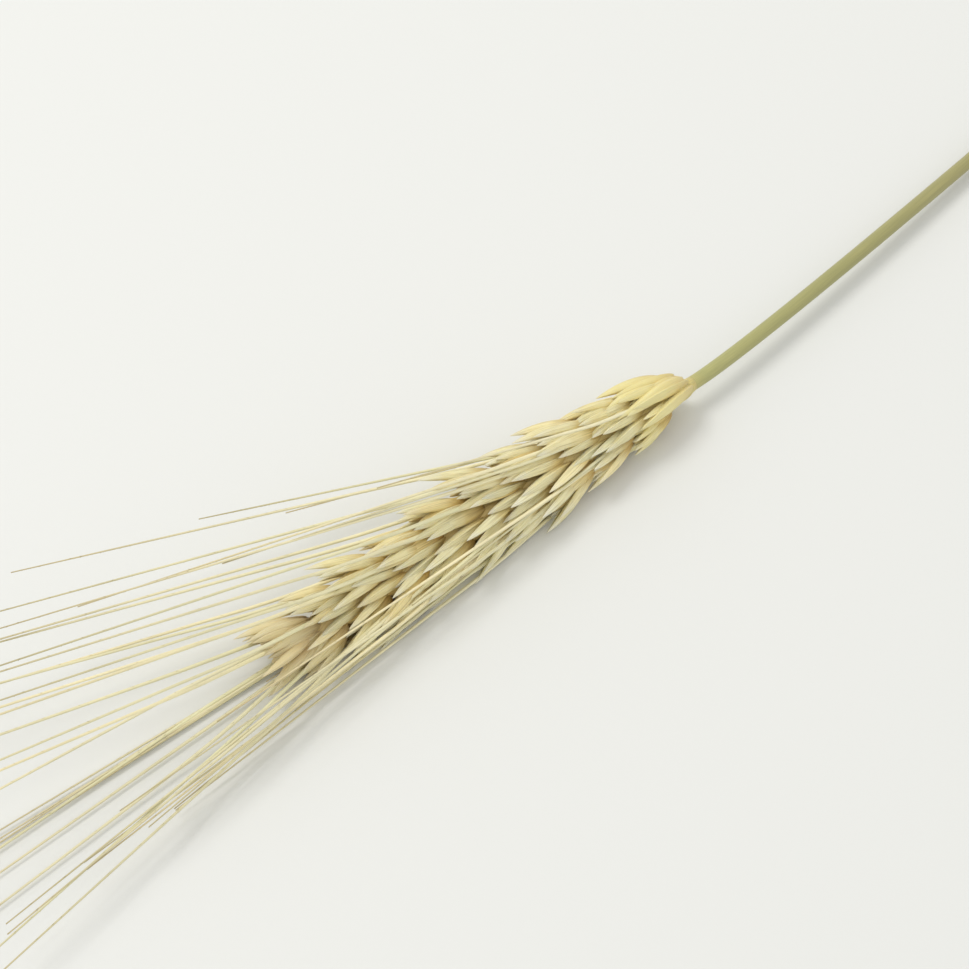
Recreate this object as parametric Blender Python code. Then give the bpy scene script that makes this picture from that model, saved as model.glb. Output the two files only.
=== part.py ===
"""A bearded wheat ear on its cut straw, lying on a surface. Metres, +Z up, +X towards the awn tips."""

import math
import random

import bmesh
import bpy
from mathutils import Vector

MM = 0.001
SEED = 11

# The ear's axis: from the collar, where the straw ends, to the root of the end spikelet
COLLAR = Vector((-28.89, -0.05, 4.4)) * MM
AXIS_LENGTH = 73.0 * MM
AXIS_BOW_SIDE = -0.6 * MM
AXIS_DROP = 0.9 * MM
ROLL = math.radians(44)
TWIST = math.radians(9)

# Spikelets, in two rows that take turns up the axis
LATERAL_SPIKELETS = 19
FIRST_NODE = 0.8 * MM
LAST_NODE = 70.5 * MM
HIGH_ROW_SPREAD = math.radians(6.0)
LOW_ROW_SPREAD = math.radians(6.0)
BASE_SPREAD = -0.3
NODE_OFFSET = 0.75 * MM
END_SINK = 2.2 * MM
SPREAD_JITTER = math.radians(2.0)
BASE_SIZE = 1.05
BASE_SHARE = 0.22
END_SIZE = 0.80
END_SHARE = 0.32
LOW_START_SIZE = 0.72
SIZE_JITTER = 0.07

# Rachis, the zigzag core that the spikelets grow from
RACHIS_LENGTH = 76.0 * MM
RACHIS_HALF_FLANK = 2.9 * MM
RACHIS_HALF_ROW = 2.1 * MM
RACHIS_LEAN = 0.45 * MM
RACHIS_TAPER = 0.2
RACHIS_SIDES = 6

# Awns, the long bristles
AWN_LENGTH = 80.0 * MM
AWN_ROOT_SHARE = 0.70
AWN_ROOT_RADIUS = 0.40 * MM
AWN_TIP_RADIUS = 0.17 * MM
BASE_AWN_SIZE = 0.62
END_AWN_SIZE = 0.9
GROWING_SHARE = 0.3
HIGH_AWN_LEAN = math.radians(15)
LOW_AWN_LEAN = math.radians(2.5)
UNDER_AWN_LEAN = math.radians(6)
MIDDLE_AWNS = 5
MIDDLE_AWN_SIZE = 0.85
AWN_OPENING = 0.12
AWN_BEND = 0.15
AWN_DRIFT = 0.045
SHORTEST_AWN = 0.88
LONGEST_AWN = 1.08
AWN_SIDES = 3
AWN_RINGS = 6

# Scales and awns keep this far above the surface, and bend clear of it over the blend
HUSK_FLOOR = 0.05 * MM
AWN_FLOOR = 0.62 * MM
FLOOR_BLEND = 1.2 * MM
FLOOR_CUT_DEPTH = 4.0 * MM

# Husks, the scales of a spikelet
HUSK_SIDES = 4
GLUME_RINGS = 5
LEMMA_RINGS = 4
INNER_RINGS = 3
ROOT_FULLNESS = 0.55
HUSK_ARCH = 0.16
INNER_SIDE = 0.42
HUSK_JITTER = math.radians(4)

# Stalk, the hollow straw below the ear, and the collar where the ear begins
STALK_LENGTH = 112.0 * MM
STALK_RADIUS = 1.15 * MM
STALK_YAW = math.radians(7.0)
STALK_POINTS = 24
NECK_LENGTH = 14.0 * MM
STALK_RESOLUTION = 4
BORE_RADIUS = 0.6 * MM
BORE_POINTS = 6
BORE_OVERRUN = 2.0 * MM
COLLAR_RADIUS = 1.3 * MM
COLLAR_DEPTH = 4.0 * MM
COLLAR_SIDES = 12
TOUCHING_GAP = 0.3 * MM

# Colours, and limits for shading and welding
HUSK_COLOUR = (0.69, 0.62, 0.36)
HUSK_ROUGHNESS = 0.55
STALK_COLOUR = (0.40, 0.36, 0.15)
STALK_ROUGHNESS = 0.45
SHARP_ANGLE = math.radians(50)
WELD = 0.01 * MM


class Husk:
    """One scale of a spikelet. Lengths in metres; sideways and outward angles in radians."""

    def __init__(self, length, half_width, back, sideways, outward, facing, root, keel, sharpness, rings):
        self.length = length * MM
        self.half_width = half_width * MM
        self.back = back * MM
        self.sideways = math.radians(sideways)
        self.outward = math.radians(outward)
        self.facing = math.radians(facing)
        self.root = [value * MM for value in root]
        self.keel = keel
        self.sharpness = sharpness
        self.rings = rings


# Angles in degrees: fanned sideways, tilted outward, the way its back faces (0 flank, 90 straight out)
# Root: along the spikelet, sideways, outward
GLUME = Husk(12.0, 1.25, 1.15, 11, -1, 24, (0.0, 1.5, -0.3), 0.85, 1.0, GLUME_RINGS)
SIDE_LEMMA = Husk(15.2, 1.4, 1.4, 10, 3, 42, (0.6, 1.3, 0.8), 0.45, 1.5, LEMMA_RINGS)
PALEA = Husk(12.2, 1.1, 1.05, 8, 7, 60, (1.2, 0.9, 1.7), 0.3, 1.0, INNER_RINGS)
CENTRE_LEMMA = Husk(13.0, 1.2, 1.2, 1, 10, 90, (2.4, 0.0, 2.0), 0.45, 1.1, LEMMA_RINGS)
INNER_LEMMA = Husk(11.6, 1.1, 1.1, 14, 5, 50, (3.0, 1.1, 0.9), 0.45, 1.0, INNER_RINGS)


def smooth_step(value):
    value = min(max(value, 0.0), 1.0)
    return value * value * (3.0 - 2.0 * value)


def axis_point(along):
    """A point on the ear's axis, which bows sideways a little and dips towards its tip."""
    share = along / AXIS_LENGTH
    return COLLAR + Vector((along, AXIS_BOW_SIDE * math.sin(math.pi * share), -AXIS_DROP * share * share))


def axis_frame(along):
    """(axis, row, flank): the way up the ear, the way to one row of spikelets, and across the rows."""
    step = 0.5 * MM
    axis = (axis_point(along + step) - axis_point(along - step)).normalized()
    side = (Vector((0.0, 1.0, 0.0)) - axis * axis.y).normalized()
    up = axis.cross(side)
    roll = ROLL + TWIST * (along / AXIS_LENGTH - 0.5)
    flank = up * math.cos(roll) + side * math.sin(roll)
    row = side * math.cos(roll) - up * math.sin(roll)
    return axis, row, flank


def size_at(share):
    """Spikelets are smaller at both ends of the ear."""
    from_base = BASE_SIZE + (1.0 - BASE_SIZE) * smooth_step(share / BASE_SHARE)
    from_end = END_SIZE + (1.0 - END_SIZE) * smooth_step((1.0 - share) / END_SHARE)
    return from_base * from_end


def spindle(name, sides, rings, place):
    """A closed mesh: a sphere primitive whose points go to place(share of length, angle round)."""
    shape = bmesh.new()
    bmesh.ops.create_uvsphere(shape, u_segments=sides, v_segments=rings, radius=1.0)
    for vertex in shape.verts:
        share = math.acos(min(max(-vertex.co.z, -1.0), 1.0)) / math.pi
        angle = math.atan2(vertex.co.y, vertex.co.x)
        vertex.co = place(share, angle)
    if shape.calc_volume(signed=True) < 0.0:
        bmesh.ops.reverse_faces(shape, faces=shape.faces)
    mesh = bpy.data.meshes.new(name)
    shape.to_mesh(mesh)
    shape.free()
    return bpy.data.objects.new(name, mesh)


def above_floor(point, floor):
    """The point, lifted smoothly where it would come lower than a floor height above the surface."""
    height = point.z - floor
    return Vector((point.x, point.y, floor + 0.5 * (height + math.sqrt(height * height + FLOOR_BLEND ** 2))))


def husk_profile(share, sharpness):
    """Half width and back height along a husk, as a share of their largest."""
    widest = ROOT_FULLNESS / (ROOT_FULLNESS + sharpness)
    largest = widest ** ROOT_FULLNESS * (1.0 - widest) ** sharpness
    return share ** ROOT_FULLNESS * (1.0 - share) ** sharpness / largest


def husk_places(husk, size, root, forward, out, across, draw):
    """The husk's placing function, the line along its middle and the way that it points."""
    outward = husk.outward + draw.uniform(-HUSK_JITTER, HUSK_JITTER)
    sideways = husk.sideways + draw.uniform(-HUSK_JITTER, HUSK_JITTER)
    way = forward * math.cos(outward) + out * math.sin(outward)
    way = way * math.cos(sideways) + across * math.sin(sideways)
    back = across * math.cos(husk.facing) + out * math.sin(husk.facing)
    back = (back - way * back.dot(way)).normalized()
    wide = way.cross(back)
    base = root + (forward * husk.root[0] + across * husk.root[1] + out * husk.root[2]) * size
    length = husk.length * size

    def spine(share):
        lift = HUSK_ARCH * husk.back * size * math.sin(math.pi * share)
        return above_floor(base + way * (length * share) + back * lift, HUSK_FLOOR)

    def place(share, angle):
        profile = husk_profile(share, husk.sharpness)
        ridge = 1.0 - abs(math.sin(angle))
        height = math.cos(angle)
        if height > 0.0:
            height = husk.keel * ridge + (1.0 - husk.keel) * height
        else:
            height *= INNER_SIDE
        return (
            spine(share)
            + back * (height * profile * husk.back * size)
            + wide * (math.sin(angle) * profile * husk.half_width * size)
        )

    return place, spine, way


def awn_line(start, way, aim, length, draw):
    """Points along an awn, which leaves a husk's tip, turns to where it aims and stays above the surface."""
    drift = Vector((0.0, draw.uniform(-1.0, 1.0), draw.uniform(-1.0, 1.0))) * AWN_DRIFT
    end_way = (aim + drift).normalized()
    points = []
    point = start.copy()
    for ring in range(AWN_RINGS + 1):
        share = ring / AWN_RINGS
        points.append(point.lerp(above_floor(point, AWN_FLOOR), smooth_step(share * AWN_RINGS)))
        turned = smooth_step((share + 0.5 / AWN_RINGS) / AWN_BEND)
        point = point + way.lerp(end_way, turned).normalized() * (length / AWN_RINGS)
    return points


def awn(name, start, way, aim, length, draw):
    points = awn_line(start, way, aim, length, draw)
    twist = draw.uniform(0.0, math.pi)

    def place(share, angle):
        ring = min(int(round(share * AWN_RINGS)), AWN_RINGS)
        before, after = points[max(ring - 1, 0)], points[min(ring + 1, AWN_RINGS)]
        line = (after - before).normalized()
        first = line.orthogonal().normalized()
        second = line.cross(first)
        radius = AWN_ROOT_RADIUS + (AWN_TIP_RADIUS - AWN_ROOT_RADIUS) * share
        if ring in (0, AWN_RINGS):
            radius = 0.0
        return points[ring] + (
            first * math.cos(angle + twist) + second * math.sin(angle + twist)
        ) * radius

    return spindle(name, AWN_SIDES, AWN_RINGS, place)


def spikelet(label, root, forward, out, across, aims, size, awn_size, draw):
    """Two glumes, two side florets with a palea each, two smaller florets between them, and the awns."""
    near, far, middle = aims
    plan = [("glume", GLUME, 1, None), ("glume", GLUME, -1, None), ("lemma", SIDE_LEMMA, 1, near),
            ("lemma", SIDE_LEMMA, -1, far), ("palea", PALEA, 1, None), ("palea", PALEA, -1, None),
            ("lemma", CENTRE_LEMMA, 1, middle), ("lemma", INNER_LEMMA, 1, None)]
    pieces = []
    for number, (kind, husk, hand, aim) in enumerate(plan):
        grown = size * (1.0 + draw.uniform(-SIZE_JITTER, SIZE_JITTER))
        place, spine, way = husk_places(husk, grown, root, forward, out, across * hand, draw)
        name = f"{label}_{kind}_{number}"
        pieces.append(spindle(name, HUSK_SIDES, husk.rings, place))
        if aim is None:
            continue
        length = AWN_LENGTH * awn_size * draw.uniform(SHORTEST_AWN, LONGEST_AWN)
        if husk is CENTRE_LEMMA:
            length *= MIDDLE_AWN_SIZE
        opened = aim + across * (hand * AWN_OPENING)
        pieces.append(awn(name + "_awn", spine(AWN_ROOT_SHARE), way, opened, length, draw))
    return pieces


def rachis():
    """The ear's core: a flattened stem that leans to each spikelet's root in turn."""
    rings = LATERAL_SPIKELETS + 2

    def place(share, angle):
        ring = round(share * rings)
        along = RACHIS_LENGTH * share
        axis, row, flank = axis_frame(along)
        lean = row * (RACHIS_LEAN * (-1) ** ring)
        taper = 1.0 - RACHIS_TAPER * share
        if ring in (0, rings):
            lean = Vector()
            taper = 0.0
        return (
            axis_point(along) + lean
            + flank * (math.cos(angle) * RACHIS_HALF_FLANK * taper)
            + row * (math.sin(angle) * RACHIS_HALF_ROW * taper)
        )

    return spindle("ear", RACHIS_SIDES, rings, place)


def grown_spikelets():
    """Every spikelet of the ear, as loose pieces."""
    draw = random.Random(SEED)
    pieces = []
    for number in range(LATERAL_SPIKELETS):
        share = number / (LATERAL_SPIKELETS - 1)
        along = FIRST_NODE + (LAST_NODE - FIRST_NODE) * share
        axis, row, flank = axis_frame(along)
        side = row * (-1) ** (number + 1)
        low = number % 2 == 1
        grown = smooth_step(share / GROWING_SHARE)
        spread = (LOW_ROW_SPREAD if low else HIGH_ROW_SPREAD) * (BASE_SPREAD + (1.0 - BASE_SPREAD) * grown)
        spread += draw.uniform(-SPREAD_JITTER, SPREAD_JITTER)
        forward = axis * math.cos(spread) + side * math.sin(spread)
        out = side * math.cos(spread) - axis * math.sin(spread)
        root = axis_point(along) + side * NODE_OFFSET
        lean = LOW_AWN_LEAN if low else HIGH_AWN_LEAN
        aim = axis * math.cos(lean) + side * math.sin(lean)
        aims = (aim, aim, None)
        size = size_at(share)
        if low:
            under = axis * math.cos(UNDER_AWN_LEAN) + side * math.sin(UNDER_AWN_LEAN)
            aims = (aim, under, aim if number < 2 * MIDDLE_AWNS else None)
            size *= LOW_START_SIZE + (1.0 - LOW_START_SIZE) * grown
        awn_size = BASE_AWN_SIZE + (1.0 - BASE_AWN_SIZE) * grown
        pieces += spikelet(f"s{number:02d}", root, forward, out, flank, aims, size, awn_size, draw)
    axis, row, flank = axis_frame(AXIS_LENGTH)
    root = axis_point(AXIS_LENGTH - END_SINK)
    pieces += spikelet("end", root, axis, flank, row, (axis, axis, None), END_SIZE, END_AWN_SIZE, draw)
    return pieces


def material(name, colour, roughness):
    made = bpy.data.materials.new(name)
    made.use_nodes = True
    shader = made.node_tree.nodes["Principled BSDF"]
    shader.inputs["Base Color"].default_value = (*colour, 1.0)
    shader.inputs["Roughness"].default_value = roughness
    shader.inputs["Metallic"].default_value = 0.0
    return made


def apply_modifiers(thing):
    """The object's mesh as its modifiers leave it, with the modifiers gone."""
    graph = bpy.context.evaluated_depsgraph_get()
    mesh = bpy.data.meshes.new_from_object(thing.evaluated_get(graph))
    thing.modifiers.clear()
    thing.data = mesh


def collar():
    """A short round stub with a flat end, which meets the straw and runs into the rachis."""
    axis = axis_frame(0.0)[0]
    shape = bmesh.new()
    bmesh.ops.create_cone(
        shape, cap_ends=True, segments=COLLAR_SIDES,
        radius1=COLLAR_RADIUS, radius2=COLLAR_RADIUS, depth=COLLAR_DEPTH,
    )
    mesh = bpy.data.meshes.new("collar")
    shape.to_mesh(mesh)
    shape.free()
    stub = bpy.data.objects.new("collar", mesh)
    stub.location = COLLAR + axis * (COLLAR_DEPTH / 2)
    stub.rotation_euler = axis.to_track_quat("Z", "Y").to_euler()
    return stub


def ear(parts, cutters):
    """Rachis, spikelets and awns joined in one solid, with the low scales flattened where it rests."""
    whole = rachis()
    parts.objects.link(whole)
    grown = bpy.data.collections.new("spikelets")
    bpy.context.scene.collection.children.link(grown)
    for piece in [collar()] + grown_spikelets():
        grown.objects.link(piece)
    boolean(whole, "spikelets", "UNION", "MANIFOLD", collection=grown)
    boolean(whole, "floor", "DIFFERENCE", "MANIFOLD", cutter=floor_cutter(cutters))
    bpy.context.view_layer.update()
    apply_modifiers(whole)
    for piece in list(grown.objects):
        bpy.data.objects.remove(piece)
    bpy.data.collections.remove(grown)
    whole.data.shade_smooth()
    whole.data.set_sharp_from_angle(angle=SHARP_ANGLE)
    whole.data.materials.clear()
    whole.data.materials.append(material("ear_husk", HUSK_COLOUR, HUSK_ROUGHNESS))
    return whole


def boolean(thing, name, operation, solver, cutter=None, collection=None):
    made = thing.modifiers.new(name, "BOOLEAN")
    made.operation = operation
    made.solver = solver
    if collection:
        made.operand_type = "COLLECTION"
        made.collection = collection
    else:
        made.object = cutter


def as_cutter(thing, cutters):
    cutters.objects.link(thing)
    thing.hide_render = True
    thing.display_type = "WIRE"
    return thing


def floor_cutter(cutters):
    """A box below the surface, which flattens what would hang lower."""
    shape = bmesh.new()
    bmesh.ops.create_cube(shape, size=1.0)
    mesh = bpy.data.meshes.new("floor_cutter")
    shape.to_mesh(mesh)
    shape.free()
    box = bpy.data.objects.new("floor_cutter", mesh)
    box.scale = (4 * AXIS_LENGTH, 2 * AXIS_LENGTH, FLOOR_CUT_DEPTH)
    box.location = (0.0, 0.0, -FLOOR_CUT_DEPTH / 2)
    return as_cutter(box, cutters)


def stalk_points():
    """The stalk's line: it leaves along the ear's axis and bends down to its cut end on the surface."""
    axis = axis_frame(0.0)[0]
    start = COLLAR - axis * TOUCHING_GAP
    neck = start - axis * NECK_LENGTH
    end = start - Vector((math.cos(STALK_YAW), math.sin(STALK_YAW), 0.0)) * STALK_LENGTH
    end.z = STALK_RADIUS
    points = []
    for number in range(STALK_POINTS):
        share = number / (STALK_POINTS - 1)
        points.append(start.lerp(neck, share).lerp(neck.lerp(end, share), share))
    return points


def tube(name, points, radius):
    """A round bar along the points, as a mesh with its caps welded."""
    curve = bpy.data.curves.new(name, "CURVE")
    curve.dimensions = "3D"
    curve.bevel_depth = radius
    curve.bevel_resolution = STALK_RESOLUTION
    curve.use_fill_caps = True
    line = curve.splines.new("POLY")
    line.points.add(len(points) - 1)
    for spot, point in zip(line.points, points):
        spot.co = (*point, 1.0)
    guide = bpy.data.objects.new(name + "_line", curve)
    bpy.context.scene.collection.objects.link(guide)
    bpy.context.view_layer.update()
    mesh = bpy.data.meshes.new_from_object(guide.evaluated_get(bpy.context.evaluated_depsgraph_get()))
    mesh.name = name
    shape = bmesh.new()
    shape.from_mesh(mesh)
    bmesh.ops.remove_doubles(shape, verts=shape.verts, dist=WELD)
    bmesh.ops.recalc_face_normals(shape, faces=shape.faces)
    shape.to_mesh(mesh)
    shape.free()
    made = bpy.data.objects.new(name, mesh)
    made.matrix_world = guide.matrix_world
    bpy.data.objects.remove(guide)
    return made


def stalk(parts, cutters):
    """The straw, lying down from the ear, with its hollow open at the cut end."""
    points = stalk_points()
    whole = tube("stalk", points, STALK_RADIUS)
    parts.objects.link(whole)
    beyond = points[-1] + (points[-1] - points[-2]).normalized() * BORE_OVERRUN
    bore = tube("stalk_bore", points[-BORE_POINTS:] + [beyond], BORE_RADIUS)
    boolean(whole, "bore", "DIFFERENCE", "EXACT", cutter=as_cutter(bore, cutters))
    whole.data.shade_smooth()
    whole.data.set_sharp_from_angle(angle=SHARP_ANGLE)
    whole.data.materials.clear()
    whole.data.materials.append(material("stalk_straw", STALK_COLOUR, STALK_ROUGHNESS))
    return whole


def main():
    for thing in list(bpy.data.objects):
        bpy.data.objects.remove(thing)
    parts = bpy.data.collections.new("wheat_ear")
    bpy.context.scene.collection.children.link(parts)
    cutters = bpy.data.collections.new("cutters")
    bpy.context.scene.collection.children.link(cutters)
    ear(parts, cutters)
    stalk(parts, cutters)


main()
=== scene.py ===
"""The looks of a bearded wheat ear lying on its cut straw. Metres, +Z up, +X towards the awn tips."""

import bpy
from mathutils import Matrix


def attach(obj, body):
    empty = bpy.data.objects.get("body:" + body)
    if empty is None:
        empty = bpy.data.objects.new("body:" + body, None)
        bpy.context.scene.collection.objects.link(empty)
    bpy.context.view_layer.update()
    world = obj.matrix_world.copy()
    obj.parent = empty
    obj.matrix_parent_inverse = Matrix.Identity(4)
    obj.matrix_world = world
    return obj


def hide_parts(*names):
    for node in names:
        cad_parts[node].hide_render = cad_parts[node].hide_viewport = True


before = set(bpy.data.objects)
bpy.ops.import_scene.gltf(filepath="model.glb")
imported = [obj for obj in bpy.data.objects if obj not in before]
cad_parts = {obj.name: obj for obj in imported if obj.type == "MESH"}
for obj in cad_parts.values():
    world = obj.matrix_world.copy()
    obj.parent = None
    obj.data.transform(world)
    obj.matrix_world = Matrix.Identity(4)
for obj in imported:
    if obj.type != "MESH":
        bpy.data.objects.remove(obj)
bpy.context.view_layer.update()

import copy
import math
import random

import bpy
import numpy as np
from mathutils import Vector

MM = 0.001
SEED = 11
FINE_SEED = 23

# The ear's axis: from the collar, where the straw ends, to the root of the end spikelet
COLLAR = np.array((-28.89, -0.05, 4.4)) * MM
AXIS_LENGTH = 73.0 * MM
AXIS_BOW_SIDE = -0.6 * MM
AXIS_DROP = 0.9 * MM
ROLL = math.radians(44)
TWIST = math.radians(9)

# Spikelets, in two rows that take turns up the axis
LATERAL_SPIKELETS = 19
FIRST_NODE = 0.8 * MM
LAST_NODE = 70.5 * MM
HIGH_ROW_SPREAD = math.radians(6.0)
LOW_ROW_SPREAD = math.radians(6.0)
BASE_SPREAD = -0.3
NODE_OFFSET = 0.75 * MM
END_SINK = 2.2 * MM
SPREAD_JITTER = math.radians(2.0)
BASE_SIZE = 1.05
BASE_SHARE = 0.22
END_SIZE = 0.80
END_SHARE = 0.32
LOW_START_SIZE = 0.72
SIZE_JITTER = 0.07

# Rachis, the zigzag core that the spikelets grow from
RACHIS_LENGTH = 76.0 * MM
RACHIS_HALF_FLANK = 2.9 * MM
RACHIS_HALF_ROW = 2.1 * MM
RACHIS_LEAN = 0.45 * MM
RACHIS_TAPER = 0.2
FINE_RACHIS_SIDES = 20
RACHIS_ROWS = 110
RACHIS_BENDS = LATERAL_SPIKELETS + 2
RACHIS_GROWTH = 0.05

# Awns, the long bristles
AWN_LENGTH = 80.0 * MM
AWN_ROOT_SHARE = 0.70
FINE_AWN_ROOT_RADIUS = 0.36 * MM
FINE_AWN_TIP_RADIUS = 0.09 * MM
BASE_AWN_SIZE = 0.62
END_AWN_SIZE = 0.9
GROWING_SHARE = 0.3
HIGH_AWN_LEAN = math.radians(15)
LOW_AWN_LEAN = math.radians(2.5)
UNDER_AWN_LEAN = math.radians(6)
MIDDLE_AWNS = 5
MIDDLE_AWN_SIZE = 0.85
AWN_OPENING = 0.12
AWN_BEND = 0.15
AWN_DRIFT = 0.045
SHORTEST_AWN = 0.88
LONGEST_AWN = 1.08
AWN_STEPS = 6
FINE_AWN_SIDES = 6
AWN_ROWS = 56
AWN_TAPER = 0.8
AWN_FLATNESS = 0.75
BARBS_PER_AWN = 44
FIRST_BARB = 0.08
BARBED_SHARE = 0.88
BARB_ANGLES = (0.4, 2.6, 4.9)
BARB_SCATTER = 0.3
BARB_FOOT = 0.6
BARB_LENGTH = 0.34 * MM
BARB_WIDTH = 0.06 * MM
BARB_RISE = 0.05 * MM

# Scales and awns keep this far above the surface, and bend clear of it over the blend
HUSK_FLOOR = 0.05 * MM
AWN_FLOOR = 0.62 * MM
FLOOR_BLEND = 1.2 * MM
LOWEST = 0.02 * MM

# Husks, the scales of a spikelet
HUSK_ROWS = 24
HUSK_COLUMNS = 19
ROOT_FULLNESS = 0.55
HUSK_ARCH = 0.16
INNER_SIDE = 0.42
HUSK_JITTER = math.radians(4)
SHELL = 0.13 * MM
SHELL_START = 0.09
SHELL_END = 0.965
SHELL_THINNING = 1.6
VEINS = 4
VEIN_HEIGHT = 0.035 * MM
LEAF_WIDTH = 0.72
LEAF_SHARPNESS = 0.8
LEAF_SHIFT = 0.40
LEAF_TURN = math.radians(3.5)
LEAF_LIFT = math.radians(6.0)
LEAF_JITTER = math.radians(2.2)
SHORTEST_LEAF = 0.86
LONGEST_LEAF = 1.03

# Stalk, the hollow straw below the ear
STALK_LENGTH = 112.0 * MM
STALK_RADIUS = 1.15 * MM
STALK_YAW = math.radians(7.0)
NECK_LENGTH = 14.0 * MM
BORE_RADIUS = 0.6 * MM
TOUCHING_GAP = 0.3 * MM
STALK_ROWS = 120
STALK_SIDES = 40
BORE_ROWS = 12
RIB_DEPTH = 0.012
SHARP_ANGLE = math.radians(50)

# Colours of each kind of scale: at its root, low down, along its body, at its tip, and of its veins. The
# darker golden brown root and low-down colours are painted shade of the crevices where each scale's root lies
# hidden under its neighbours.
SCALE_COLOURS = {
    "glumes": (
        (0.52, 0.34, 0.09), (0.74, 0.60, 0.26), (0.87, 0.81, 0.51), (0.88, 0.85, 0.65), (0.64, 0.52, 0.24),
    ),
    "lemmas": (
        (0.50, 0.32, 0.08), (0.72, 0.58, 0.25), (0.86, 0.79, 0.48), (0.80, 0.74, 0.46), (0.64, 0.52, 0.24),
    ),
    "paleas": (
        (0.48, 0.30, 0.08), (0.68, 0.53, 0.22), (0.87, 0.80, 0.50), (0.89, 0.86, 0.67), (0.64, 0.51, 0.23),
    ),
    "florets": (
        (0.48, 0.30, 0.08), (0.68, 0.53, 0.22), (0.86, 0.79, 0.48), (0.88, 0.85, 0.66), (0.64, 0.51, 0.23),
    ),
    "grains": (
        (0.50, 0.33, 0.09), (0.62, 0.45, 0.16), (0.74, 0.58, 0.25), (0.80, 0.67, 0.35), (0.60, 0.44, 0.16),
    ),
}
RACHIS_COLOURS = (
    (0.70, 0.58, 0.24), (0.82, 0.66, 0.29), (0.84, 0.66, 0.29), (0.84, 0.66, 0.28), (0.70, 0.54, 0.21),
)
COLOUR_STOPS = (0.08, 0.28, 0.50, 0.74, 0.92)
COLLAR_COLOUR = (0.85, 0.75, 0.38)
RACHIS_COLLAR_COLOUR = (0.62, 0.55, 0.24)
EAR_TIP_COLOUR = (0.76, 0.66, 0.42)

# How a scale's colour changes with its fibres, with how ripe it is, and with its place up the ear
HUSK_STREAKS = [(0.34, (0.58, 0.55, 0.46)), (0.50, (0.95, 0.95, 0.92)), (0.68, (1.06, 1.06, 1.06))]
RIPENESS = [
    (0.0, (0.95, 0.96, 0.95)), (0.45, (1.0, 1.0, 1.0)),
    (0.8, (1.05, 1.02, 0.96)), (1.0, (1.03, 0.96, 0.84)),
]
PLACES = [
    (0.0, (1.0, 0.96, 0.68)), (0.07, (1.0, 0.98, 0.84)), (0.15, (1.0, 1.0, 1.0)),
    (0.88, (1.0, 0.99, 0.97)), (1.0, (0.96, 0.91, 0.84)),
]
COLLAR_FADE = (-9.0, 0.62)
EAR_TIP_FADE = (3.6, -3.1)
BLOTCH_SCALE = 260.0
BLOTCH_SHIFT = 0.30
FIBRES_ACROSS = 46.0
FIBRES_ALONG = 3.2
FIBRE_VARIETY = 50.0
FIBRE_DETAIL = 4.0
HUSK_STREAK_SHARE = 0.65
VEINS_PAINTED = 7.0
VEIN_FINENESS = 5.0
VEIN_SHARE = 0.30

# Colours of awns along their length, in patches, and from one awn to the next
AWN_COLOURS = [
    (0.0, (0.86, 0.80, 0.50)), (0.12, (0.86, 0.80, 0.53)),
    (0.6, (0.76, 0.69, 0.44)), (1.0, (0.52, 0.43, 0.23)),
]
AWN_PATCHES = [(0.3, (0.85, 0.85, 0.85)), (0.7, (1.12, 1.12, 1.12))]
AWN_HUES = [(0.0, (0.92, 0.95, 0.90)), (0.6, (1.0, 1.0, 1.0)), (1.0, (1.10, 1.07, 1.02))]
AWN_PATCH_SCALE = 90.0
AWN_PATCH_SHARE = 0.7

# Colours of the straw from the ear to its cut end, its streaks, and the pith in its bore
STRAW_COLOURS = [
    (0.0, (0.50, 0.46, 0.18)), (0.06, (0.43, 0.42, 0.17)),
    (0.5, (0.36, 0.345, 0.14)), (1.0, (0.36, 0.32, 0.14)),
]
STRAW_STREAKS = [(0.3, (0.82, 0.83, 0.80)), (0.7, (1.12, 1.10, 1.05))]
STRAW_STREAK_SHARE = 0.8
STRAW_FIBRES_ACROSS = 60.0
STRAW_FIBRES_ALONG = 14.0
PITH_COLOUR = (0.66, 0.58, 0.34)

# Roughness as (change with the fibres, least), and relief as (strength, height in metres)
HUSK_ROUGHNESS_RANGE = (0.25, 0.34)
HUSK_RELIEF = (0.5, 0.0001)
STRAW_ROUGHNESS_RANGE = (0.2, 0.26)
STRAW_RELIEF = (0.3, 0.00006)
NOISE_ROUGHNESS = 0.55

# Values set straight on each shader
HUSK_SHADER = {
    "Subsurface Weight": 0.15,
    "Subsurface Radius": (1.0, 0.80, 0.40),
    "Subsurface Scale": 0.0004,
    "Specular IOR Level": 0.4,
    "Sheen Weight": 0.10,
}
AWN_SHADER = {"Roughness": 0.38, "Specular IOR Level": 0.5}
STRAW_SHADER = {"Specular IOR Level": 0.5}
FLOOR_SHADER = {"Base Color": (0.77, 0.775, 0.75, 1.0), "Roughness": 0.6}

# Camera: the photo looks down on the ear from the low row's side
CAMERA_RISE = math.radians(55)
CAMERA_TURN = math.radians(38.6)
CAMERA_DISTANCE = 0.3397
CAMERA_LENS = 85.0
CAMERA_SENSOR = 36.0
CAMERA_NEAR = 0.01
IMAGE_SIDE = 969.0
FOCUS = Vector((0.00911, -0.00003, 0.0049))
FOCUS_PIXEL = (499.0, 508.0)

# Floor and light
FLOOR_HALF = 2.0
WORLD_COLOUR = (1.0, 1.0, 0.99, 1.0)
WORLD_STRENGTH = 0.85
KEY_PLACE = (0.15, -0.50, 0.95)
KEY_POWER = 3.7
KEY_SIZE = 0.40
KEY_COLOUR = (1.0, 0.985, 0.95)


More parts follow.
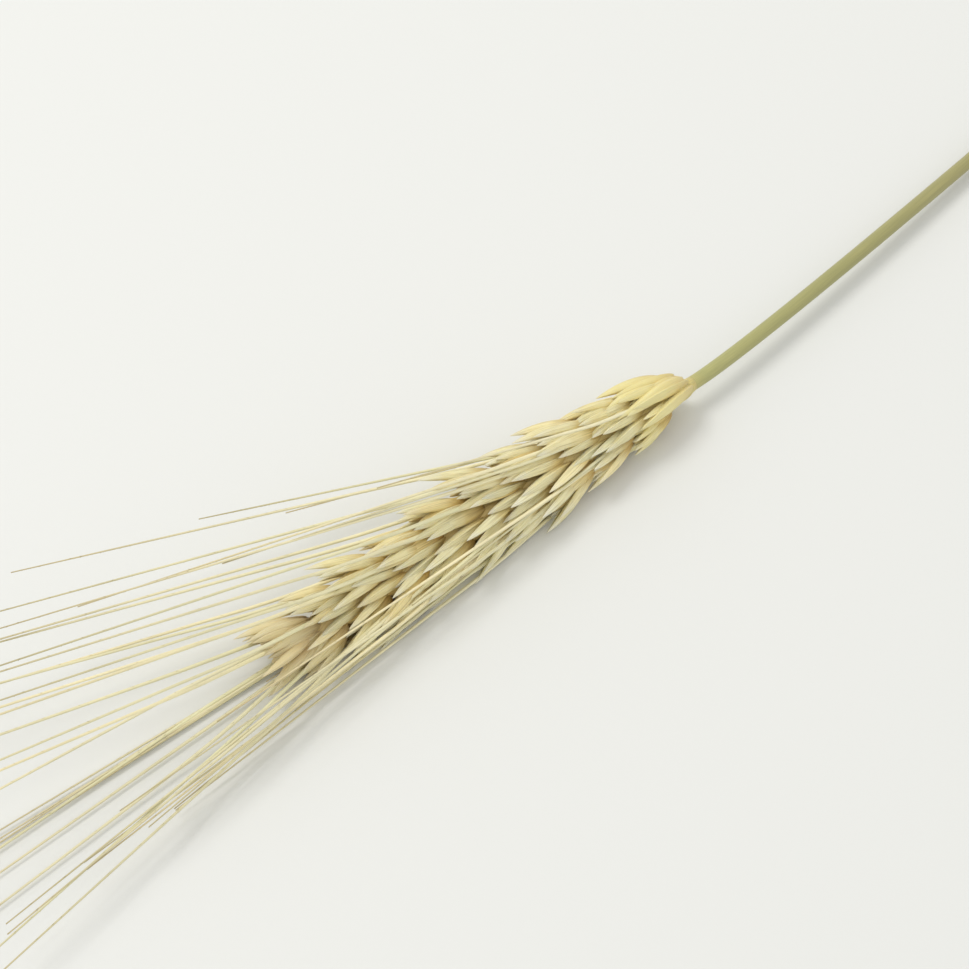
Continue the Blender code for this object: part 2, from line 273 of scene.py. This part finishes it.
class Husk:
    """One kind of scale. Lengths come in millimetres and angles in degrees, as in the ear's plan."""

    def __init__(self, length, half_width, back, sideways, outward, facing, root, keel, sharpness, wrap=112):
        self.length = length * MM
        self.half_width = half_width * MM
        self.back = back * MM
        self.sideways = math.radians(sideways)
        self.outward = math.radians(outward)
        self.facing = math.radians(facing)
        self.root = [value * MM for value in root]
        self.keel = keel
        self.sharpness = sharpness
        self.wrap = math.radians(wrap)


GLUME = Husk(12.0, 1.25, 1.15, 11, -1, 24, (0.0, 1.5, -0.3), 0.85, 1.0)
SIDE_LEMMA = Husk(15.2, 1.4, 1.4, 10, 3, 42, (0.6, 1.3, 0.8), 0.45, 1.5, wrap=150)
PALEA = Husk(12.2, 1.1, 1.05, 8, 7, 60, (1.2, 0.9, 1.7), 0.3, 1.0, wrap=130)
CENTRE_LEMMA = Husk(13.0, 1.2, 1.2, 1, 10, 90, (2.4, 0.0, 2.0), 0.45, 1.1, wrap=150)
INNER_LEMMA = Husk(11.6, 1.1, 1.1, 14, 5, 50, (3.0, 1.1, 0.9), 0.45, 1.0, wrap=150)
GRAIN = Husk(9.5, 1.5, 1.5, 6, 3, 50, (0.4, 0.5, 0.7), 0.2, 0.7, wrap=178)
OUTER_GRAIN = Husk(9.5, 1.35, 1.35, 4, 7, 70, (2.4, 0.5, 1.6), 0.2, 0.7, wrap=178)


def smooth_step(value):
    """From 0 to 1 with a soft start and end."""
    value = np.clip(value, 0.0, 1.0)
    return value * value * (3.0 - 2.0 * value)


def unit(vector):
    """The vector, or each of them, at length 1."""
    return vector / np.linalg.norm(vector, axis=-1, keepdims=True)


def axis_point(along):
    """A point on the ear's axis, which bows sideways a little and dips towards its tip."""
    share = along / AXIS_LENGTH
    return COLLAR + np.array((along, AXIS_BOW_SIDE * math.sin(math.pi * share), -AXIS_DROP * share * share))


def axis_frame(along):
    """(axis, row, flank): the way up the ear, the way to one row of spikelets, and across the rows."""
    step = 0.5 * MM
    axis = unit(axis_point(along + step) - axis_point(along - step))
    side = unit(np.array((0.0, 1.0, 0.0)) - axis * axis[1])
    up = np.cross(axis, side)
    roll = ROLL + TWIST * (along / AXIS_LENGTH - 0.5)
    flank = up * math.cos(roll) + side * math.sin(roll)
    row = side * math.cos(roll) - up * math.sin(roll)
    return axis, row, flank


def size_at(share):
    """Spikelets are smaller at both ends of the ear."""
    from_base = BASE_SIZE + (1.0 - BASE_SIZE) * smooth_step(share / BASE_SHARE)
    from_end = END_SIZE + (1.0 - END_SIZE) * smooth_step((1.0 - share) / END_SHARE)
    return float(from_base * from_end)


def above_floor(points, floor):
    """The points, lifted smoothly where they would come lower than a floor height above the surface."""
    lifted = np.array(points, dtype=float)
    height = lifted[..., 2] - floor
    lifted[..., 2] = floor + 0.5 * (height + np.sqrt(height * height + FLOOR_BLEND ** 2))
    return lifted


def grain_at(along, across, tone, place):
    """(along, across, tone, place) for each point, where any of them may be one value for all points."""
    return np.stack(np.broadcast_arrays(along, across, tone, place), axis=-1)


class Parts:
    """Grids of points gathered into one mesh, with (along, across, tone, place) kept at each point."""

    def __init__(self):
        self.points = []
        self.faces = []
        self.grain = []
        self.count = 0

    def add(self, points, faces, grain):
        self.points.append(points)
        self.grain.append(grain)
        self.faces += [tuple(corner + self.count for corner in face) for face in faces]
        self.count += len(points)

    def piece(self, name, slot, node):
        mesh = bpy.data.meshes.new(name)
        mesh.from_pydata(np.concatenate(self.points).tolist(), [], self.faces)
        mesh.validate()
        grain = mesh.attributes.new("grain", "FLOAT_COLOR", "POINT")
        grain.data.foreach_set("color", np.concatenate(self.grain).astype(np.float32).ravel())
        mesh.shade_smooth()
        made = bpy.data.objects.new(name, mesh)
        bpy.context.scene.collection.objects.link(made)
        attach(made, "root")
        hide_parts(node)
        return made


def grid_faces(rows, columns, start=0, flip=False, closed=False):
    """Quads over a grid of points, and back to its first column where it is closed round."""
    faces = []
    for row in range(rows - 1):
        for column in range(columns if closed else columns - 1):
            beside = (column + 1) % columns
            a, b = start + row * columns + column, start + row * columns + beside
            face = (a, b, b + columns, a + columns)
            faces.append(face[::-1] if flip else face)
    return faces


def rim_faces(rows, columns):
    """Quads that join the edge of an outer grid to the edge of the inner grid behind it."""
    edge = list(range(columns))
    edge += [row * columns + columns - 1 for row in range(1, rows)]
    edge += [(rows - 1) * columns + column for column in range(columns - 2, -1, -1)]
    edge += [row * columns for row in range(rows - 2, 0, -1)]
    behind = rows * columns
    return [(a + behind, b + behind, b, a) for a, b in zip(edge, edge[1:] + edge[:1])]


class Scale:
    """A husk kind placed in a spikelet: its line, and points on its outer surface."""

    def __init__(self, kind, size, root, forward, out, across, draw):
        outward = kind.outward + draw.uniform(-HUSK_JITTER, HUSK_JITTER)
        sideways = kind.sideways + draw.uniform(-HUSK_JITTER, HUSK_JITTER)
        way = forward * math.cos(outward) + out * math.sin(outward)
        self.way = way * math.cos(sideways) + across * math.sin(sideways)
        back = across * math.cos(kind.facing) + out * math.sin(kind.facing)
        self.back = unit(back - self.way * back.dot(self.way))
        self.wide = np.cross(self.way, self.back)
        self.base = root + (forward * kind.root[0] + across * kind.root[1] + out * kind.root[2]) * size
        self.kind = kind
        self.size = size
        self.length = kind.length * size
        self.slim = 1.0
        self.sharpness = kind.sharpness

    def leaf(self, hand, fine):
        """One of the two slim leaves that a scale is made of, side by side."""
        made = copy.copy(self)
        turn = hand * LEAF_TURN + fine.uniform(-LEAF_JITTER, LEAF_JITTER)
        lift = max(hand, 0) * LEAF_LIFT + fine.uniform(-LEAF_JITTER, LEAF_JITTER)
        made.way = unit(self.way + self.wide * math.tan(turn) + self.back * math.tan(lift))
        made.wide = unit(np.cross(made.way, self.back))
        made.back = np.cross(made.wide, made.way)
        made.base = self.base + self.wide * (hand * LEAF_SHIFT * self.kind.half_width * self.size)
        made.length = self.length * fine.uniform(SHORTEST_LEAF, LONGEST_LEAF)
        made.slim = LEAF_WIDTH
        made.sharpness = self.sharpness * LEAF_SHARPNESS
        return made

    def spine(self, share):
        """Points on the scale's arched line, kept above the surface."""
        share = np.asarray(share, dtype=float)[..., None]
        lift = HUSK_ARCH * self.kind.back * self.size * np.sin(math.pi * share)
        line = self.base + self.way * (self.length * share) + self.back * lift
        return above_floor(line, HUSK_FLOOR)

    def profile(self, share):
        """How full the scale is along its length, from 0 at both ends to 1 at its widest."""
        sharpness = self.sharpness
        widest = ROOT_FULLNESS / (ROOT_FULLNESS + sharpness)
        largest = widest ** ROOT_FULLNESS * (1.0 - widest) ** sharpness
        return share ** ROOT_FULLNESS * (1.0 - share) ** sharpness / largest

    def surface(self, share, angle):
        """Outer points, for grids of shares along the scale and angles round it."""
        kind = self.kind
        profile = self.profile(share)
        ridge = 1.0 - np.abs(np.sin(angle))
        height = np.cos(angle)
        keeled = kind.keel * ridge + (1.0 - kind.keel) * height
        height = np.where(height > 0.0, keeled, height * INNER_SIDE)
        veins = np.cos(angle * 2.0 * VEINS) * VEIN_HEIGHT * np.minimum(1.0, 2.0 * profile)
        rise = (height * kind.back * self.size + np.maximum(np.cos(angle), 0.0) * veins) * profile
        side = np.sin(angle) * kind.half_width * self.size * self.slim * profile
        return self.spine(share) + self.back * rise[..., None] + self.wide * side[..., None]


def shell(parts, scale, tone, place):
    """A thin boat-shaped scale, closed all round."""
    rows, columns = HUSK_ROWS, HUSK_COLUMNS
    share = 0.5 - 0.5 * np.cos(np.linspace(SHELL_START * math.pi, SHELL_END * math.pi, rows))
    turn = np.linspace(-1.0, 1.0, columns)
    share, turn = np.meshgrid(share, turn, indexing="ij")
    outer = scale.surface(share, turn * scale.kind.wrap)
    normal = unit(np.cross(np.gradient(outer, axis=1), np.gradient(outer, axis=0)))
    middle = scale.spine(share)
    outward = np.sum(normal * (outer - middle), axis=-1, keepdims=True)
    normal = np.where(outward < 0.0, -normal, normal)
    thick = SHELL * np.minimum(1.0, SHELL_THINNING * scale.profile(share))
    inner = outer - normal * thick[..., None]
    points = np.concatenate((outer.reshape(-1, 3), inner.reshape(-1, 3)))
    points[:, 2] = np.maximum(points[:, 2], LOWEST)
    grain = grain_at(share, turn * 0.5 + 0.5, tone, place).reshape(-1, 4)
    corner = np.stack((outer[1, 1] - outer[0, 1], outer[0, 2] - outer[0, 1], normal[0, 1]))
    flip = np.linalg.det(corner) > 0.0
    faces = grid_faces(rows, columns, flip=flip) + grid_faces(rows, columns, rows * columns, flip=not flip)
    rim = rim_faces(rows, columns)
    faces += [face[::-1] for face in rim] if flip else rim
    parts.add(points, faces, np.concatenate((grain, grain)))


def awn_line(start, way, aim, length, draw):
    """The few points that an awn's line is drawn through."""
    drift = np.array((0.0, draw.uniform(-1.0, 1.0), draw.uniform(-1.0, 1.0))) * AWN_DRIFT
    end_way = unit(aim + drift)
    points = []
    point = np.array(start)
    for step in range(AWN_STEPS + 1):
        share = step / AWN_STEPS
        pressed = smooth_step(share * AWN_STEPS)
        points.append(point * (1.0 - pressed) + above_floor(point, AWN_FLOOR) * pressed)
        blend = smooth_step((share + 0.5 / AWN_STEPS) / AWN_BEND)
        point = point + unit(way * (1.0 - blend) + end_way * blend) * (length / AWN_STEPS)
    return np.array(points)


def smooth_line(points, rows):
    """A smooth curve through the points, read at even shares of its length."""
    first = 2 * points[0] - points[1]
    last = 2 * points[-1] - points[-2]
    padded = np.vstack((first, points, last))
    spots = np.linspace(0.0, len(points) - 1 - 1e-9, rows)
    start = spots.astype(int)
    t = (spots - start)[:, None]
    a, b, c, d = (padded[start + shift] for shift in range(4))
    square = (2 * a - 5 * b + 4 * c - d) * t ** 2
    cube = (3 * b - a - 3 * c + d) * t ** 3
    return 0.5 * (2 * b + (c - a) * t + square + cube)


def line_frames(line):
    """Two directions across a line at each of its points, which don't twist along it."""
    along = unit(np.gradient(line, axis=0))
    first = unit(np.cross(along, np.array((0.0, 0.0, 1.0))))
    return along, first, np.cross(along, first)


def rings(line, first, second, angle, radius, flat=1.0):
    """Rings of points round a line, with a radius for each ring or for each point of each ring."""
    ring = first[:, None] * np.cos(angle)[None, :, None]
    ring = ring + second[:, None] * (np.sin(angle) * flat)[None, :, None]
    return (line[:, None] + ring * radius[:, :, None]).reshape(-1, 3)


def tube(parts, line, radius, sides, tone, place, flat, twist):
    """A closed bar along a line, with a radius at each point and a flattened section."""
    rows = len(line)
    _, first, second = line_frames(line)
    angle = np.linspace(0.0, 2.0 * math.pi, sides, endpoint=False) + twist
    points = rings(line, first, second, angle, radius[:, None], flat)
    share = np.repeat(np.linspace(0.0, 1.0, rows), sides)
    turn = np.tile(np.arange(sides) / sides, rows)
    grain = grain_at(share, turn, tone, place)
    points = np.vstack((points, line[0], line[-1]))
    grain = np.vstack((grain, grain[0], grain[-1]))
    faces = grid_faces(rows, sides, closed=True, flip=True)
    faces += [(rows * sides, i, (i + 1) % sides) for i in range(sides)]
    end = (rows - 1) * sides
    faces += [(rows * sides + 1, end + (i + 1) % sides, end + i) for i in range(sides)]
    parts.add(points, faces, grain)


def barbs(parts, line, radius, tone, place, fine):
    """Tiny teeth along an awn, which point towards its tip."""
    along, first, second = line_frames(line)
    for number in range(BARBS_PER_AWN):
        spot = FIRST_BARB + BARBED_SHARE * (number + fine.random()) / BARBS_PER_AWN
        row = int(spot * (len(line) - 1))
        angle = fine.choice(BARB_ANGLES) + fine.uniform(-BARB_SCATTER, BARB_SCATTER)
        out = first[row] * math.cos(angle) + second[row] * math.sin(angle)
        side = np.cross(out, along[row])
        foot = line[row] + out * radius[row] * BARB_FOOT
        tip = foot + along[row] * BARB_LENGTH + out * (radius[row] * (1.0 - BARB_FOOT) + BARB_RISE)
        points = np.array((
            foot + side * BARB_WIDTH, foot - side * BARB_WIDTH,
            foot + along[row] * BARB_LENGTH * 0.5, tip,
        ))
        points[:, 2] = np.maximum(points[:, 2], LOWEST)
        share = row / (len(line) - 1)
        grain = np.tile((share, 0.5, tone, place), (4, 1))
        parts.add(points, [(0, 1, 2), (0, 3, 1), (1, 3, 2), (2, 3, 0)], grain)


def awn(parts, start, way, aim, length, draw, fine, place):
    """One bristle with its barbs, flattened and tapered."""
    line = smooth_line(awn_line(start, way, aim, length, draw), AWN_ROWS)
    twist = draw.uniform(0.0, math.pi)
    share = np.linspace(0.0, 1.0, AWN_ROWS)
    radius = FINE_AWN_ROOT_RADIUS + (FINE_AWN_TIP_RADIUS - FINE_AWN_ROOT_RADIUS) * share ** AWN_TAPER
    tone = fine.random()
    tube(parts, line, radius, FINE_AWN_SIDES, tone, place, AWN_FLATNESS, twist)
    barbs(parts, line, radius, tone, place, fine)


def spikelet(gathered, root, forward, out, across, aims, size, awn_size, place, draw, fine):
    """Two glumes, two side florets with an awn each, two smaller florets between them, and their grains."""
    near, far, middle = aims
    plan = [("glumes", GLUME, 1, None), ("glumes", GLUME, -1, None), ("lemmas", SIDE_LEMMA, 1, near),
            ("lemmas", SIDE_LEMMA, -1, far), ("paleas", PALEA, 1, None), ("paleas", PALEA, -1, None),
            ("florets", CENTRE_LEMMA, 1, middle), ("florets", INNER_LEMMA, 1, None)]
    for kind in (GRAIN, OUTER_GRAIN):
        for hand in (1, -1):
            seed = Scale(kind, size, root, forward, out, across * hand, fine)
            shell(gathered["grains"], seed, fine.random(), place)
    for family, kind, hand, aim in plan:
        grown = size * (1.0 + draw.uniform(-SIZE_JITTER, SIZE_JITTER))
        scale = Scale(kind, grown, root, forward, out, across * hand, draw)
        leaves = [scale] if kind is SIDE_LEMMA else [scale.leaf(-1, fine), scale.leaf(1, fine)]
        for leaf in leaves:
            shell(gathered[family], leaf, fine.random(), place)
        if aim is None:
            continue
        length = AWN_LENGTH * awn_size * draw.uniform(SHORTEST_AWN, LONGEST_AWN)
        if kind is CENTRE_LEMMA:
            length *= MIDDLE_AWN_SIZE
        opened = aim + across * (hand * AWN_OPENING)
        awn(gathered["awns"], scale.spine(AWN_ROOT_SHARE), scale.way, opened, length, draw, fine, place)


def grow_spikelets(gathered):
    """All spikelets up the ear: one draw places them as in the solids, and a finer one varies their looks."""
    draw = random.Random(SEED)
    fine = random.Random(FINE_SEED)
    for number in range(LATERAL_SPIKELETS):
        share = number / (LATERAL_SPIKELETS - 1)
        along = FIRST_NODE + (LAST_NODE - FIRST_NODE) * share
        axis, row, flank = axis_frame(along)
        side = row * (-1) ** (number + 1)
        low = number % 2 == 1
        spread = LOW_ROW_SPREAD if low else HIGH_ROW_SPREAD
        grown = float(smooth_step(share / GROWING_SHARE))
        spread *= BASE_SPREAD + (1.0 - BASE_SPREAD) * grown
        spread += draw.uniform(-SPREAD_JITTER, SPREAD_JITTER)
        forward = axis * math.cos(spread) + side * math.sin(spread)
        out = side * math.cos(spread) - axis * math.sin(spread)
        root = axis_point(along) + side * NODE_OFFSET
        awn_size = BASE_AWN_SIZE + (1.0 - BASE_AWN_SIZE) * grown
        lean = LOW_AWN_LEAN if low else HIGH_AWN_LEAN
        aim = axis * math.cos(lean) + side * math.sin(lean)
        aims = (aim, aim, None)
        size = size_at(share)
        if low:
            under = axis * math.cos(UNDER_AWN_LEAN) + side * math.sin(UNDER_AWN_LEAN)
            aims = (aim, under, aim if number < 2 * MIDDLE_AWNS else None)
            size *= LOW_START_SIZE + (1.0 - LOW_START_SIZE) * grown
        spikelet(gathered, root, forward, out, flank, aims, size, awn_size, share, draw, fine)
    axis, row, flank = axis_frame(AXIS_LENGTH)
    root = axis_point(AXIS_LENGTH - END_SINK)
    spikelet(gathered, root, axis, flank, row, (axis, axis, None), END_SIZE, END_AWN_SIZE, 1.0, draw, fine)


def rachis():
    """The ear's core: a flattened stem that leans to each spikelet's root in turn."""
    parts = Parts()
    rows, sides = RACHIS_ROWS, FINE_RACHIS_SIDES
    share = np.linspace(0.0, 1.0, rows)
    points = []
    for spot in share:
        axis, row, flank = axis_frame(RACHIS_LENGTH * spot)
        wave = math.sin(math.pi * (spot * RACHIS_BENDS + 0.5))
        grow = float(smooth_step(spot / RACHIS_GROWTH))
        wide = STALK_RADIUS + (RACHIS_HALF_FLANK * (1.0 - RACHIS_TAPER * spot) - STALK_RADIUS) * grow
        deep = STALK_RADIUS + (RACHIS_HALF_ROW * (1.0 - RACHIS_TAPER * spot) - STALK_RADIUS) * grow
        middle = axis_point(RACHIS_LENGTH * spot) + row * RACHIS_LEAN * wave * grow
        middle = middle - axis * (TOUCHING_GAP * (1.0 - grow))
        for side in range(sides):
            angle = 2.0 * math.pi * side / sides
            points.append(middle + flank * math.cos(angle) * wide + row * math.sin(angle) * deep)
    points = np.array(points)
    spots = np.repeat(share, sides)
    turn = np.tile(np.arange(sides) / sides, rows)
    grain = grain_at(spots, turn, 0.5, spots)
    faces = grid_faces(rows, sides, closed=True)
    faces += [tuple(range(sides))[::-1], tuple(range((rows - 1) * sides, rows * sides))]
    parts.add(points, faces, grain)
    return parts.piece("ear_rachis", "husk", "ear")


def stalk_line(rows):
    """The stalk's line: it leaves along the ear's axis and bends down to its cut end on the surface."""
    axis = axis_frame(0.0)[0]
    start = COLLAR - axis * TOUCHING_GAP
    neck = start - axis * NECK_LENGTH
    end = start - STALK_LENGTH * np.array((math.cos(STALK_YAW), math.sin(STALK_YAW), 0.0))
    end[2] = STALK_RADIUS
    share = np.linspace(0.0, 1.0, rows)[:, None]
    return start * (1.0 - share) ** 2 + neck * (2.0 * share * (1.0 - share)) + end * share ** 2


def stalk():
    """The straw, ribbed finely along its length, with its hollow open at the cut end."""
    parts = Parts()
    rows, sides = STALK_ROWS, STALK_SIDES
    line = stalk_line(rows)
    line[0] += axis_frame(0.0)[0] * TOUCHING_GAP
    _, first, second = line_frames(line)
    angle = np.linspace(0.0, 2.0 * math.pi, sides, endpoint=False)
    share = np.linspace(0.0, 1.0, rows)
    bore = slice(-1, -BORE_ROWS - 1, -1)
    ribs = 1.0 - RIB_DEPTH * (0.5 + 0.5 * np.cos(angle * sides / 2))
    outer = rings(line, first, second, angle, STALK_RADIUS * ribs[None] * np.ones((rows, 1)))
    inner = rings(line[bore], first[bore], second[bore], angle, BORE_RADIUS * np.ones((BORE_ROWS, 1)))
    points = np.vstack((outer, inner, line[0], line[bore][-1]))
    spots = np.concatenate((np.repeat(share, sides), np.full(BORE_ROWS * sides, 1.0), (0.0, 1.0)))
    all_rows = rows + BORE_ROWS
    turn = np.concatenate((np.tile(np.arange(sides) / sides, all_rows), (0.5, 0.5)))
    inside = np.concatenate((np.zeros(rows * sides), np.ones(BORE_ROWS * sides), (0.0, 1.0)))
    grain = grain_at(spots, turn, inside, spots)
    faces = grid_faces(all_rows, sides, closed=True, flip=True)
    near = all_rows * sides
    deep = near + 1
    last = near - sides
    faces += [(near, i, (i + 1) % sides) for i in range(sides)]
    faces += [(deep, last + (i + 1) % sides, last + i) for i in range(sides)]
    parts.add(points, faces, grain)
    made = parts.piece("stalk_straw", "straw", "stalk")
    made.data.set_sharp_from_angle(angle=SHARP_ANGLE)
    return made


class Nodes:
    """A short way to write a material's node tree."""

    def __init__(self, name):
        self.material = bpy.data.materials.new(name)
        self.material.use_nodes = True
        self.tree = self.material.node_tree
        self.shader = self.tree.nodes["Principled BSDF"]

    def add(self, kind, settings=None, **inputs):
        node = self.tree.nodes.new(kind)
        for key, value in (settings or {}).items():
            setattr(node, key, value)
        for key, value in inputs.items():
            self.feed(node, key.replace("_", " "), value)
        return node

    def feed(self, node, key, value):
        socket = node.inputs[int(key)] if key.isdigit() else node.inputs[key]
        if hasattr(value, "links"):
            self.tree.links.new(value, socket)
        else:
            socket.default_value = value

    def math(self, operation, *values):
        node = self.tree.nodes.new("ShaderNodeMath")
        node.operation = operation
        for number, value in enumerate(values):
            self.feed(node, str(number), value)
        return node.outputs[0]

    def ramp(self, value, stops):
        node = self.tree.nodes.new("ShaderNodeValToRGB")
        self.tree.links.new(value, node.inputs[0])
        ramp = node.color_ramp
        while len(ramp.elements) < len(stops):
            ramp.elements.new(0.5)
        for element, (spot, colour) in zip(ramp.elements, stops):
            element.position = spot
            element.color = (*colour, 1.0)
        return node.outputs[0]

    def mix(self, share, first, second, blend="MIX"):
        node = self.tree.nodes.new("ShaderNodeMix")
        node.data_type = "RGBA"
        node.blend_type = blend
        self.feed(node, "0", share)
        self.feed(node, "6", first)
        self.feed(node, "7", second)
        return node.outputs[2]

    def grain(self):
        """The piece's own (along, across, tone, place)."""
        read = self.add("ShaderNodeAttribute", {"attribute_name": "grain"})
        split = self.tree.nodes.new("ShaderNodeSeparateColor")
        self.tree.links.new(read.outputs["Color"], split.inputs[0])
        return split.outputs[0], split.outputs[1], split.outputs[2], read.outputs["Alpha"]

    def noise(self, vector, scale, detail=3.0):
        node = self.add("ShaderNodeTexNoise", Scale=scale, Detail=detail, Roughness=NOISE_ROUGHNESS)
        self.tree.links.new(vector, node.inputs["Vector"])
        return node.outputs["Fac"]

    def spots(self):
        """Each point's own place in space."""
        return self.add("ShaderNodeTexCoord").outputs["Object"]

    def vector(self, x, y, z):
        node = self.tree.nodes.new("ShaderNodeCombineXYZ")
        for number, value in enumerate((x, y, z)):
            self.feed(node, str(number), value)
        return node.outputs[0]

    def fade(self, value, slope_and_start):
        """A share that falls or rises along a value, and is never below 0."""
        return self.math("MAXIMUM", self.math("MULTIPLY_ADD", value, *slope_and_start), 0.0)

    def link(self, value, key):
        self.tree.links.new(value, self.shader.inputs[key])

    def fibres(self, fibre, roughness, relief):
        """Roughness and fine relief that follow the fibres."""
        self.link(self.math("MULTIPLY_ADD", fibre, *roughness), "Roughness")
        strength, height = relief
        bump = self.add("ShaderNodeBump", Strength=strength, Distance=height)
        self.tree.links.new(fibre, bump.inputs["Height"])
        self.link(bump.outputs[0], "Normal")

    def done(self, values):
        """Sets the values that are the same all over the surface."""
        for key, value in values.items():
            self.shader.inputs[key].default_value = value
        return self.material


def husk_material(name, root, low, body, tip, vein, collar=COLLAR_COLOUR):
    """Dry papery scale: darker golden brown at its root as painted shade of the crevices, cream along its
    body, pale at its tip, with fine veins.
    """
    nodes = Nodes(name)
    along, across, tone, place = nodes.grain()
    blotch = nodes.noise(nodes.spots(), BLOTCH_SCALE)
    fibre_space = nodes.vector(
        nodes.math("MULTIPLY", across, FIBRES_ACROSS),
        nodes.math("MULTIPLY", along, FIBRES_ALONG),
        nodes.math("MULTIPLY", tone, FIBRE_VARIETY),
    )
    fibre = nodes.noise(fibre_space, 1.0, FIBRE_DETAIL)
    shift = nodes.math("MULTIPLY", nodes.math("SUBTRACT", blotch, 0.5), BLOTCH_SHIFT)
    shifted = nodes.math("ADD", along, shift)
    # The root and low-down stops of this ramp paint the shade of the crevices at each scale's root.
    colour = nodes.ramp(shifted, list(zip(COLOUR_STOPS, (root, low, body, body, tip))))
    wave = nodes.math("SINE", nodes.math("MULTIPLY", across, 2.0 * math.pi * VEINS_PAINTED))
    veins = nodes.math("POWER", nodes.math("MULTIPLY_ADD", wave, 0.5, 0.5), VEIN_FINENESS)
    colour = nodes.mix(nodes.math("MULTIPLY", veins, VEIN_SHARE), colour, (*vein, 1.0))
    colour = nodes.mix(HUSK_STREAK_SHARE, colour, nodes.ramp(fibre, HUSK_STREAKS), "MULTIPLY")
    colour = nodes.mix(1.0, colour, nodes.ramp(tone, RIPENESS), "MULTIPLY")
    colour = nodes.mix(1.0, colour, nodes.ramp(place, PLACES), "MULTIPLY")
    colour = nodes.mix(nodes.fade(place, COLLAR_FADE), colour, (*collar, 1.0))
    colour = nodes.mix(nodes.fade(place, EAR_TIP_FADE), colour, (*EAR_TIP_COLOUR, 1.0))
    nodes.link(colour, "Base Color")
    nodes.fibres(fibre, HUSK_ROUGHNESS_RANGE, HUSK_RELIEF)
    return nodes.done(HUSK_SHADER)


def awn_material():
    """Dry bristle, pale green yellow, browner at its tip."""
    nodes = Nodes("awn_bristle")
    along, _, tone, _ = nodes.grain()
    patch = nodes.ramp(nodes.noise(nodes.spots(), AWN_PATCH_SCALE), AWN_PATCHES)
    colour = nodes.mix(AWN_PATCH_SHARE, nodes.ramp(along, AWN_COLOURS), patch, "MULTIPLY")
    colour = nodes.mix(1.0, colour, nodes.ramp(tone, AWN_HUES), "MULTIPLY")
    nodes.link(colour, "Base Color")
    return nodes.done(AWN_SHADER)


def straw_material():
    """Smooth dry stalk, green yellow near the ear and darker further off, pale pith inside."""
    nodes = Nodes("stalk_skin")
    along, across, inside, _ = nodes.grain()
    space = nodes.vector(
        nodes.math("MULTIPLY", across, STRAW_FIBRES_ACROSS),
        nodes.math("MULTIPLY", along, STRAW_FIBRES_ALONG),
        0.0,
    )
    fibre = nodes.noise(space, 1.0, FIBRE_DETAIL)
    streak = nodes.ramp(fibre, STRAW_STREAKS)
    colour = nodes.mix(STRAW_STREAK_SHARE, nodes.ramp(along, STRAW_COLOURS), streak, "MULTIPLY")
    colour = nodes.mix(inside, colour, (*PITH_COLOUR, 1.0))
    nodes.link(colour, "Base Color")
    nodes.fibres(fibre, STRAW_ROUGHNESS_RANGE, STRAW_RELIEF)
    return nodes.done(STRAW_SHADER)


def floor_material():
    return Nodes("pale_floor").done(FLOOR_SHADER)


def paint(piece, material):
    piece.data.materials.clear()
    piece.data.materials.append(material)


def ear_and_stalk():
    """Every piece of the ear, and the straw, each with its material."""
    gathered = {family: Parts() for family in (*SCALE_COLOURS, "awns")}
    grow_spikelets(gathered)
    for family, colours in SCALE_COLOURS.items():
        skin = husk_material(f"{family}_scale", *colours)
        paint(gathered[family].piece(f"ear_{family}", "husk", "ear"), skin)
    paint(gathered["awns"].piece("ear_awns", "husk", "ear"), awn_material())
    paint(rachis(), husk_material("rachis_skin", *RACHIS_COLOURS, RACHIS_COLLAR_COLOUR))
    paint(stalk(), straw_material())


def camera():
    """The photo's view, shifted so that the focus falls on the photo's pixel."""
    away = Vector((
        math.cos(CAMERA_RISE) * math.sin(CAMERA_TURN),
        math.cos(CAMERA_RISE) * math.cos(CAMERA_TURN),
        math.sin(CAMERA_RISE),
    ))
    made = bpy.data.objects.new("camera", bpy.data.cameras.new("camera"))
    bpy.context.scene.collection.objects.link(made)
    made.data.lens = CAMERA_LENS
    made.data.sensor_width = CAMERA_SENSOR
    made.data.clip_start = CAMERA_NEAR
    made.location = FOCUS + away * CAMERA_DISTANCE
    made.rotation_euler = (-away).to_track_quat("-Z", "Y").to_euler()
    made.data.shift_x = (IMAGE_SIDE / 2 - FOCUS_PIXEL[0]) / IMAGE_SIDE
    made.data.shift_y = (FOCUS_PIXEL[1] - IMAGE_SIDE / 2) / IMAGE_SIDE
    bpy.context.scene.camera = made


def area_light(name, place, energy, size, colour):
    """A soft square light that faces the ear."""
    light = bpy.data.lights.new(name, "AREA")
    light.energy = energy
    light.size = size
    light.color = colour
    made = bpy.data.objects.new(name, light)
    made.location = place
    made.rotation_euler = Vector(place).to_track_quat("Z", "Y").to_euler()
    bpy.context.scene.collection.objects.link(made)


def surroundings():
    """The pale floor, the even light of the room and one soft key light."""
    mesh = bpy.data.meshes.new("floor")
    corners = [(x * FLOOR_HALF, y * FLOOR_HALF, 0) for x, y in ((-1, -1), (1, -1), (1, 1), (-1, 1))]
    mesh.from_pydata(corners, [], [(0, 1, 2, 3)])
    floor = bpy.data.objects.new("floor", mesh)
    bpy.context.scene.collection.objects.link(floor)
    paint(floor, floor_material())
    world = bpy.data.worlds.new("studio")
    world.use_nodes = True
    background = world.node_tree.nodes["Background"]
    background.inputs["Color"].default_value = WORLD_COLOUR
    background.inputs["Strength"].default_value = WORLD_STRENGTH
    bpy.context.scene.world = world
    bpy.context.scene.view_settings.view_transform = "Standard"
    area_light("key", KEY_PLACE, KEY_POWER, KEY_SIZE, KEY_COLOUR)


ear_and_stalk()
camera()
surroundings()
